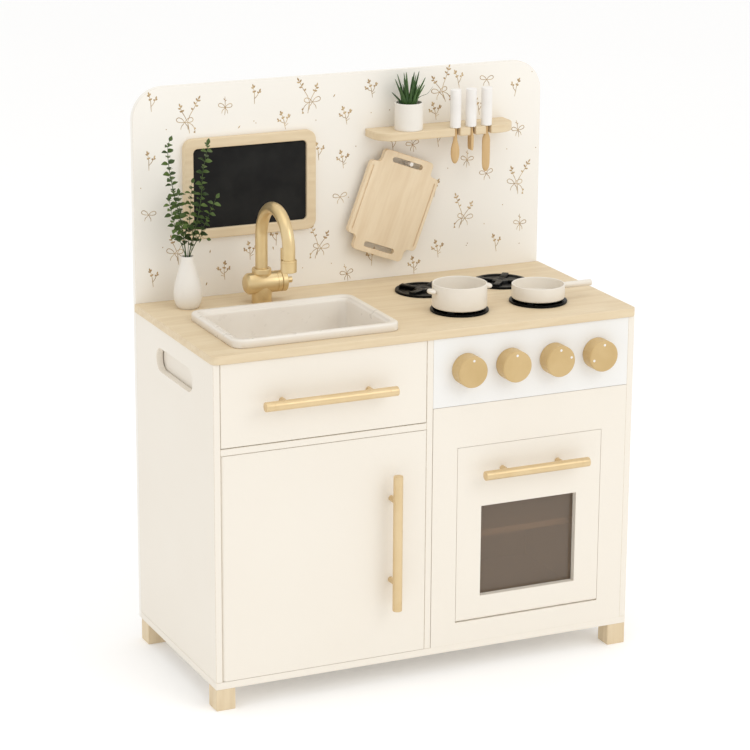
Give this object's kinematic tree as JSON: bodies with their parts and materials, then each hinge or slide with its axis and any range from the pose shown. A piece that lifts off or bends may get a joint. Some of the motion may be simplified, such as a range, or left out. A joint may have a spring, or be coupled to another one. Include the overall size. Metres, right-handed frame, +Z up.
{
  "type": "toy kitchen",
  "caption": "Free-standing wooden play kitchen with a sink and faucet, hob, drawer, cupboard, oven with a window, knobs, back board with chalkboard and shelf, and small cookware.",
  "frame": {"origin": "on the floor, under the middle of the whole object's bounding box", "axes": "+X to the right as a child facing the kitchen sees it, +Y to the back board, +Z up"},
  "size_m": [0.604, 0.317, 0.7654],
  "materials": {
    "cream_paint": "satin paint on board",
    "printed_board": "satin paint with a printed twig pattern",
    "control_white": "satin paint",
    "maple": "clear matt lacquer",
    "board_wood": "bare sanded wood",
    "utensil_wood": "bare sanded wood",
    "handle_gold": "satin gold anodised",
    "knob_gold": "matt gold paint",
    "faucet_gold": "brushed satin",
    "chalkboard": "matt chalkboard paint",
    "burner_black": "gloss",
    "pot_white": "satin enamel look",
    "basin_white": "satin",
    "utensil_white": "satin",
    "white_ceramic": "matt glaze",
    "leaf_green": "matt",
    "soil": "rough",
    "smoked_pane": "smoked clear sheet",
    "steel_fittings": "plain"
  },
  "bodies": {
    "carcass": {"left_side_panel": "cream_paint", "right_side_panel": "cream_paint", "bottom_panel": "cream_paint", "centre_divider": "cream_paint", "drawer_shelf": "cream_paint", "oven_ceiling": "cream_paint", "oven_shelf": "cream_paint", "feet": "maple", "back_board": "printed_board", "worktop": "maple", "control_panel": "control_white", "oven_surround": "cream_paint", "door_catches": "steel_fittings", "chalkboard_frame": "maple", "chalkboard_panel": "chalkboard", "wall_shelf": "maple", "board_peg": "utensil_white", "faucet_base": "faucet_gold", "faucet_body": "faucet_gold", "burner_front_left": "burner_black", "burner_front_right": "burner_black", "burner_back_left": "burner_black", "burner_back_right": "burner_black"},
    "drawer": {"drawer_front": "cream_paint", "drawer_sides": "cream_paint", "drawer_bottom": "cream_paint", "drawer_back": "cream_paint", "drawer_handle_bar": "handle_gold", "drawer_handle_posts": "handle_gold"},
    "cupboard_door": {"cupboard_door": "cream_paint", "cupboard_handle_bar": "handle_gold", "cupboard_handle_posts": "handle_gold", "cupboard_pins": "steel_fittings"},
    "oven_door": {"oven_door": "cream_paint", "oven_glass": "smoked_pane", "oven_handle_bar": "handle_gold", "oven_handle_posts": "handle_gold", "oven_pins": "steel_fittings"},
    "knob_1": {"knob_1": "knob_gold"},
    "knob_2": {"knob_2": "knob_gold"},
    "knob_3": {"knob_3": "knob_gold"},
    "knob_4": {"knob_4": "knob_gold"},
    "spout": {"faucet_spout": "faucet_gold", "faucet_nozzle": "faucet_gold"},
    "lever": {"faucet_lever": "faucet_gold"},
    "sink_basin": {"sink_basin": "basin_white"},
    "pot": {"pot": "pot_white"},
    "pan": {"pan": "pot_white"},
    "cutting_board": {"cutting_board": "board_wood"},
    "spoon": {"spoon_handle": "utensil_white", "spoon_head": "utensil_wood"},
    "fork": {"fork_handle": "utensil_white", "fork_head": "utensil_wood"},
    "knife": {"knife_handle": "utensil_white", "knife_head": "utensil_wood"},
    "vase": {"vase": "white_ceramic", "vase_sprigs": "leaf_green"},
    "planter": {"planter_pot": "white_ceramic", "planter_soil": "soil", "succulent": "leaf_green"}
  },
  "joints": [
    {"name": "drawer_slide", "type": "slide", "parent": "carcass", "child": "drawer", "axis": [0, -1, 0], "range_m": [0, 0.2]},
    {"name": "cupboard_hinge", "type": "hinge", "parent": "carcass", "child": "cupboard_door", "pos_m": [-0.286, -0.126, 0.19], "axis": [0, 0, -1], "range_deg": [0, 95]},
    {"name": "oven_hinge", "type": "hinge", "parent": "carcass", "child": "oven_door", "pos_m": [0.14775, -0.126, 0.0735], "axis": [1, 0, 0], "range_deg": [0, 90]},
    {"name": "knob_1_turn", "type": "hinge", "parent": "carcass", "child": "knob_1", "pos_m": [0.05175, -0.1305, 0.4195], "axis": [0, 1, 0], "continuous": true},
    {"name": "knob_2_turn", "type": "hinge", "parent": "carcass", "child": "knob_2", "pos_m": [0.11575, -0.1305, 0.4195], "axis": [0, 1, 0], "continuous": true},
    {"name": "knob_3_turn", "type": "hinge", "parent": "carcass", "child": "knob_3", "pos_m": [0.17975, -0.1305, 0.4195], "axis": [0, 1, 0], "continuous": true},
    {"name": "knob_4_turn", "type": "hinge", "parent": "carcass", "child": "knob_4", "pos_m": [0.24375, -0.1305, 0.4195], "axis": [0, 1, 0], "continuous": true},
    {"name": "spout_swivel", "type": "hinge", "parent": "carcass", "child": "spout", "pos_m": [-0.14325, 0.0915, 0.5021], "axis": [0, 0, 1], "range_deg": [-60, 60]},
    {"name": "lever_tilt", "type": "hinge", "parent": "carcass", "child": "lever", "pos_m": [-0.11355, 0.0915, 0.5021], "axis": [1, 0, 0], "range_deg": [-35, 35]},
    {"name": "board_swing", "type": "hinge", "parent": "carcass", "child": "cutting_board", "pos_m": [0.0941, 0.1365, 0.6347], "axis": [0, 1, 0], "range_deg": [-41, 5]},
    {"name": "basin_lift", "type": "slide", "parent": "carcass", "child": "sink_basin", "axis": [0, 0, 1], "range_m": [0, 0.05]},
    {"name": "pot_lift", "type": "slide", "parent": "carcass", "child": "pot", "axis": [0, 0, 1], "range_m": [0, 0.08]},
    {"name": "pan_lift", "type": "slide", "parent": "carcass", "child": "pan", "axis": [0, 0, 1], "range_m": [0, 0.08]},
    {"name": "spoon_out", "type": "slide", "parent": "carcass", "child": "spoon", "axis": [0, -1, 0], "range_m": [0, 0.06]},
    {"name": "fork_out", "type": "slide", "parent": "carcass", "child": "fork", "axis": [0, -1, 0], "range_m": [0, 0.06]},
    {"name": "knife_out", "type": "slide", "parent": "carcass", "child": "knife", "axis": [0, -1, 0], "range_m": [0, 0.06]},
    {"name": "vase_lift", "type": "slide", "parent": "carcass", "child": "vase", "axis": [0, 0, 1], "range_m": [0, 0.06]},
    {"name": "planter_lift", "type": "slide", "parent": "carcass", "child": "planter", "axis": [0, 0, 1], "range_m": [0, 0.04]}
  ]
}
